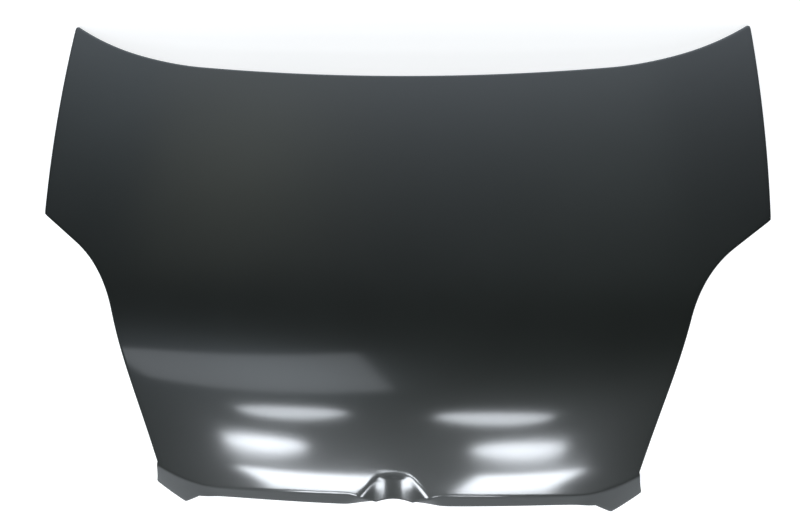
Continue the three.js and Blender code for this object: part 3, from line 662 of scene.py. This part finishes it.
def beam_crest_loop():
    """Crest of the perimeter beam, from a simpler outline inside the hem band and clear of the ears."""
    inset = BEAM_FOOT_INSET
    front = SKIN_LENGTH - BEAM_FRONT_INSET
    rear_xs = [share * REAR_TIP_X for share in (0, 0.28, 0.52, 0.72, 0.86)]
    right = [(x, edge_s(x) + 1.05 * inset) for x in rear_xs]
    right += [
        (edge_x(REAR_TIP_S) - 1.3 * inset, edge_s(REAR_TIP_X - inset) + 1.7 * inset),
        (edge_x(0) - inset, 0),
        (LAMP_CORNER[0] - 1.15 * inset, LAMP_CORNER[1] - 0.3 * inset),
        (ARC_START[0] - 1.2 * inset, ARC_START[1]),
        (edge_x(LAMP_KNEE[1]) - 1.15 * inset, LAMP_KNEE[1]),
        (ARC_END[0] - inset, ARC_END[1]),
        (edge_x(front) - inset, front - BEAM_EAR_CLEARANCE),
        (EAR_FOOT[0] - inset, front),
        (SCALLOP_FOOT_HALF_WIDTH, front),
        (0, front)]
    foot_corners = np.concatenate([right, mirrored(right[1:-1])])
    return rounded_loop(grow(foot_corners, -BEAM_WALL_WIDTH), BEAM_CORNER_RADIUS - BEAM_WALL_WIDTH, 6)


def frame_outlines():
    """The rounded outline, and one with plain corners and no points close to them."""
    sharp = grid_places(column_shares(), row_stations())
    sharp = np.array([sharp[r, c] for r, c in border_cells(*sharp.shape[:2])])
    plain = sharp
    for x, s in ((REAR_TIP_X, REAR_TIP_S), LAMP_CORNER, WAIST, EAR_CORNER, EAR_TIP, EAR_FOOT):
        for side in (1, -1):
            away = np.hypot(plain[:, 0] - side * x, plain[:, 1] - s)
            plain = plain[(away > BAND_CORNER_REACH) | (away == away.min())]
    return round_corners(sharp), plain


class PressedSheet:
    """Loops of points, each with its flat place, joined by faces that look up."""

    def __init__(self):
        self.flat, self.points, self.faces = [], [], []

    def loop(self, places, points):
        ids = list(range(len(self.flat), len(self.flat) + len(places)))
        self.flat += [tuple(place) for place in places]
        self.points += list(points)
        return ids

    def add_faces(self, faces):
        for face in faces:
            face = tuple(face)
            self.faces.append(face if turned(np.array([self.flat[i] for i in face])) < 0 else face[::-1])

    def strip(self, first, second):
        following = first[1:] + first[:1]
        beyond = second[1:] + second[:1]
        self.add_faces(zip(first, following, beyond, second))

    def ramp(self, loop_a, press_a, loop_b, press_b, steps=8):
        """Rings from one loop and level to another, easing out of the first and into the second."""
        rings = []
        for share in np.arange(steps + 1) / steps:
            places = loop_a + (loop_b - loop_a) * share
            eased = smoother(share, 0, 1)
            rings.append(self.loop(places, press_a(places) * (1 - eased) + press_b(places) * eased))
        for first, second in zip(rings, rings[1:]):
            self.strip(first, second)
        return rings[0], rings[-1]

    def fill(self, outer, holes, press, spacing=LEVEL_STEP):
        loops = [outer] + holes
        ids = [i for loop in loops for i in loop]
        outlines = [np.array([self.flat[i] for i in loop]) for loop in loops]
        low, high = outlines[0].min(0), outlines[0].max(0)
        across, along = [np.arange(-n, n + 1) * spacing for n in np.ceil((high - low) / 2 / spacing)]
        grid = np.stack(np.meshgrid(across, along), -1).reshape(-1, 2) + (low + high) / 2
        grid = grid[inside(grid, outlines[0])]
        for outline in outlines:
            away = np.min(np.linalg.norm(grid[:, None] - outline[None], axis=2), 1)
            grid = grid[away > 0.5 * spacing]
        for outline in outlines[1:]:
            grid = grid[~inside(grid, outline)]
        ids += self.loop(grid, press(grid)) if len(grid) else []
        rings, start = [], 0
        for outline in outlines:
            ring = list(range(start, start + len(outline)))
            start += len(outline)
            rings.append(ring if turned(outline) > 0 else ring[::-1])
        result = delaunay_2d_cdt([Vector(self.flat[i]) for i in ids], [], rings, 1, 1e-7, True)
        source = [ids[origin[0]] for origin in result[3]]
        self.add_faces([[source[corner] for corner in face]
                        for face, origin in zip(result[2], result[5]) if set(origin) == {0}])

    def thicken(self, thickness):
        """Points and faces of the sheet with an under side and rims."""
        points = np.array(self.points)
        normals = np.zeros_like(points)
        for face in self.faces:
            a, b, c = points[list(face[:3])]
            normals[list(face)] += np.cross(b - a, c - a)
        normals /= np.linalg.norm(normals, axis=1, keepdims=True)
        shift = len(points)
        edges = {(a, b) for face in self.faces for a, b in zip(face, face[1:] + face[:1])}
        rims = [(b, a, a + shift, b + shift) for a, b in edges if (b, a) not in edges]
        under = [tuple(i + shift for i in face[::-1]) for face in self.faces]
        return np.concatenate([points, points - normals * thickness]), self.faces + under + rims


def press_at(depth):
    """Presses flat places to a depth, with more room over the scallop."""
    def press(places):
        x, s = places[:, 0], places[:, 1]
        room = SCALLOP_CLEARANCE * scallop(x, s) / SCALLOP_FOOT_DEPTH if depth > HEM_HEIGHT else 0 * x
        return panel_point(x, s, depth + room)
    return press


def pad_plane(pad, side):
    x, s = np.array([side * pad["x"]]), np.array([pad["s"]])
    normal = normal_of(form_point, x, s)[0]
    return panel_point(x, s, np.array([CREST_DEPTH + pad["rise"]]))[0], normal


def press_flat(pad, side):
    """Presses flat places into the plane of a pad."""
    centre, normal = pad_plane(pad, side)

    def press(places):
        points = panel_point(places[:, 0], places[:, 1], np.full(len(places), CREST_DEPTH + pad["rise"]))
        return points - ((points - centre) @ normal)[:, None] * normal
    return press


def pad_loop(pad, side, margin):
    half = np.array(pad["size"]) / 2 + margin
    signs = np.array([(-1, -1), (1, -1), (1, 1), (-1, 1)])
    return rounded_loop((side * pad["x"], pad["s"]) + signs * half, PAD_CORNER_RADIUS + margin, 6, 1.0)


def drain_holes():
    side_hole_s, rib_hole_s = SKIN_LENGTH - 0.311, SKIN_LENGTH - 0.379
    places = [
        (0.150, 0.052), (0.345, 0.034), (REAR_TIP_X - 0.080, 0.150),
        (0.180, (CROSS_RIB_REAR + CROSS_RIB_FRONT) / 2), (rib_x(rib_hole_s), rib_hole_s),
        (side_x(side_hole_s) + 0.048, side_hole_s),
        (0.170, SKIN_LENGTH - 0.091), (0.300, SKIN_LENGTH - 0.097)]
    return [circle_loop((side * x, s), DRAIN_HOLE_DIAMETER) for side in (1, -1) for x, s in places]


def make_inner_frame():
    sheet = PressedSheet()
    seat, foot_level = press_at(SKIN_THICKNESS + SEAT_GAP), press_at(BEAM_FOOT_DEPTH)
    flange_level, crest_level = press_at(MOUTH_FLANGE_DEPTH), press_at(CREST_DEPTH)
    rounded, plain = frame_outlines()
    edge_line, band_line = grow(rounded, -FRAME_EDGE_INSET), grow(plain, -HEM_BAND_WIDTH)
    edge = sheet.loop(edge_line, seat(edge_line))
    band = sheet.loop(band_line, seat(band_line))
    sheet.fill(edge, [band], seat, BAND_STEP)
    crest_line = beam_crest_loop()
    foot, crest = sheet.ramp(grow(crest_line, BEAM_WALL_WIDTH), foot_level, crest_line, crest_level)
    sheet.fill(band, [foot], foot_level)
    holes = []
    for mouth in mouth_loops():
        lip = sheet.loop(mouth, flange_level(mouth))
        flange_line = grow(mouth, MOUTH_FLANGE_WIDTH)
        top_line = grow(mouth, MOUTH_FLANGE_WIDTH + MOUTH_WALL_WIDTH)
        flange, top = sheet.ramp(flange_line, flange_level, top_line, crest_level)
        sheet.strip(lip, flange)
        holes.append(top)
    for pad, side in ((HINGE_PAD, 1), (HINGE_PAD, -1), (STRIKER_PAD, 1)):
        flat = press_flat(pad, side)
        ramp_line, cap_line = pad_loop(pad, side, pad["ramp"]), pad_loop(pad, side, 0)
        rim, cap = sheet.ramp(ramp_line, crest_level, cap_line, flat, 4)
        bolt_holes = []
        if pad is HINGE_PAD:
            for end in (-1, 1):
                centre = (side * pad["x"], pad["s"] + end * HINGE_BOLT_SPACING / 2)
                line = circle_loop(centre, BOLT_HOLE_DIAMETER)
                bolt_holes.append(sheet.loop(line, flat(line)))
        sheet.fill(cap, bolt_holes, flat)
        holes.append(rim)
    for line in drain_holes():
        holes.append(sheet.loop(line, crest_level(line)))
    sheet.fill(crest, holes, crest_level)
    points, faces = sheet.thicken(FRAME_THICKNESS)
    piece = new_piece("inner_frame_pressing", points, faces, frame_coat)
    piece.data.set_sharp_from_angle(angle=np.radians(35))
    return piece


inner_frame = make_inner_frame()
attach(inner_frame, BODY)
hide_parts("inner_frame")


# Pieces that keep their solids take their finish

def finish_node(name, material):
    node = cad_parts[name]
    node.data.materials.clear()
    node.data.materials.append(material)


for node_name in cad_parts:
    if node_name.startswith("mastic_dab"):
        finish_node(node_name, mastic)
    elif node_name not in ("outer_skin", "inner_frame"):
        finish_node(node_name, hardware_coat)


# Camera

def place_camera():
    a, e = CAMERA_AZIMUTH, CAMERA_ELEVATION
    back = np.array([np.sin(a) * np.cos(e), -np.cos(a) * np.cos(e), np.sin(e)])
    side = np.cross(-back, [0, 0, 1])
    side /= np.linalg.norm(side)
    up = np.cross(side, -back)
    right = side * np.cos(CAMERA_ROLL) + up * np.sin(CAMERA_ROLL)
    top = np.cross(back, right)
    ends = at_rest(np.array([np.zeros(3), right, top, back, CAMERA_TARGET + back * CAMERA_DISTANCE]))
    axes = ends[1:4] - ends[0]
    data = bpy.data.cameras.new("camera")
    data.lens = LENS_MM
    data.sensor_width = 36
    camera = bpy.data.objects.new("camera", data)
    camera.matrix_world = Matrix.Translation(Vector(ends[4])) @ Matrix(axes.T.tolist()).to_4x4()
    bpy.context.scene.collection.objects.link(camera)
    bpy.context.scene.camera = camera


place_camera()


# Floor, lamps and surroundings

def make_floor():
    """A pale seamless floor that keeps the bonnet's shadow."""
    size = 12.0
    mesh = bpy.data.meshes.new("studio_floor")
    corners = [(-size, -size, 0), (size, -size, 0), (size, size, 0), (-size, size, 0)]
    mesh.from_pydata(corners, [], [(0, 1, 2, 3)])
    material, tree, output = new_material("pale_matt_floor_paint")
    seen = add_node(tree, "ShaderNodeLightPath").outputs["Is Camera Ray"]
    matt = add_node(tree, "ShaderNodeBsdfDiffuse", Color=linear("#b8b8b8"))
    level = add_node(tree, "ShaderNodeMath", {"operation": "MULTIPLY"}, i0=seen, i1=0.75)
    lift = add_node(tree, "ShaderNodeEmission", Color=linear("#ffffff"), Strength=level.outputs[0])
    both = add_node(tree, "ShaderNodeAddShader", i0=matt.outputs[0], i1=lift.outputs[0])
    tree.links.new(both.outputs[0], output.inputs["Surface"])
    mesh.materials.append(material)
    floor = bpy.data.objects.new("studio_floor", mesh)
    bpy.context.scene.collection.objects.link(floor)


make_floor()

# Lamps: place, tilt and heading in degrees, width and length, and radiance. Two round softboxes and a
# square one hang in each of two columns overhead, two more stand at the far end, and a dim board
# hangs over the left side.
SOFTBOX = (1.18, 0.28)
LAMPS = [
    ((-1.12, -2.04, 2.4), 0, 17, SOFTBOX, 16), ((0.80, -2.07, 2.4), 0, -17, SOFTBOX, 17),
    ((-1.66, -2.90, 2.4), 0, 15, SOFTBOX, 36), ((1.22, -2.86, 2.4), 0, -15, SOFTBOX, 32),
    ((-1.22, -3.95, 2.4), 0, 8, (1.90, 1.15), 30), ((1.42, -3.95, 2.4), 0, -8, (1.45, 1.20), 30),
    ((-2.25, -9.50, 2.45), 90, 0, (1.45, 2.50), 25), ((1.50, -9.50, 1.80), 90, 0, (1.10, 1.20), 25),
    ((-1.50, -1.20, 2.4), 0, 15, (2.6, 0.85), 1.8),
]


def make_lamps():
    for i, (place, tilt, heading, (width, length), radiance) in enumerate(LAMPS):
        data = bpy.data.lights.new(f"softbox_{i + 1}", "AREA")
        round_box = (width, length) == SOFTBOX
        data.shape = "ELLIPSE" if round_box else "RECTANGLE"
        data.size = width
        data.size_y = length
        data.energy = radiance * np.pi * width * length * (np.pi / 4 if round_box else 1)
        data.color = linear("#f2f8ff")[:3]
        lamp = bpy.data.objects.new(data.name, data)
        lamp.location = place
        lamp.rotation_euler = (np.radians(tilt), 0, np.radians(heading))
        bpy.context.scene.collection.objects.link(lamp)


make_lamps()

# Soft light of the surroundings: direction, spread as a power, and strength with its tint
GLOWS = [
    ((0.00, 1.00, 0.09), 5, 3.6, "#e6f2ff"),
    ((0.00, -0.71, 0.71), 5, 0.1, "#e4fff2"),
    ((-0.30, -0.30, 0.91), 45, 0.9, "#e2f2ff"),
    ((-0.61, -0.35, 0.71), 16, 0.4, "#dcecff"),
    ((-0.35, 0.61, 0.71), 45, 0.4, "#f8ffe0"),
    ((-0.64, 0.64, 0.42), 45, 0.2, "#dcf8ff"),
    ((0.35, 0.61, 0.71), 16, 0.14, "#e8fff0"),
]


def make_surroundings():
    world = bpy.data.worlds.new("studio")
    world.use_nodes = True
    tree = world.node_tree
    tree.nodes.clear()
    way = add_node(tree, "ShaderNodeTexCoord").outputs["Generated"]
    total = add_node(tree, "ShaderNodeMix", {"data_type": "RGBA"}, i0=0.0,
                     i6=(0.01, 0.01, 0.01, 1)).outputs[2]
    for direction, spread, strength, tint in GLOWS:
        toward = add_node(tree, "ShaderNodeVectorMath", {"operation": "DOT_PRODUCT"}, i0=way,
                          i1=Vector(direction).normalized())
        facing = add_node(tree, "ShaderNodeMath", {"operation": "MAXIMUM"},
                          i0=toward.outputs["Value"], i1=0.0)
        lobe = add_node(tree, "ShaderNodeMath", {"operation": "POWER"},
                        i0=facing.outputs[0], i1=float(spread))
        bright = add_node(tree, "ShaderNodeVectorMath", {"operation": "SCALE"},
                          i0=[strength * part for part in linear(tint)[:3]], Scale=lobe.outputs[0])
        total = add_node(tree, "ShaderNodeVectorMath", {"operation": "ADD"}, i0=total,
                         i1=bright.outputs[0]).outputs[0]
    glow = add_node(tree, "ShaderNodeBackground", Color=total, Strength=1.0)
    white = add_node(tree, "ShaderNodeBackground", Color=linear("#ffffff"), Strength=1.0)
    seen = add_node(tree, "ShaderNodeLightPath").outputs["Is Camera Ray"]
    mixed = add_node(tree, "ShaderNodeMixShader", i0=seen, i1=glow.outputs[0], i2=white.outputs[0])
    output = add_node(tree, "ShaderNodeOutputWorld")
    tree.links.new(mixed.outputs[0], output.inputs["Surface"])
    bpy.context.scene.world = world


make_surroundings()

bpy.context.scene.view_settings.view_transform = "Standard"
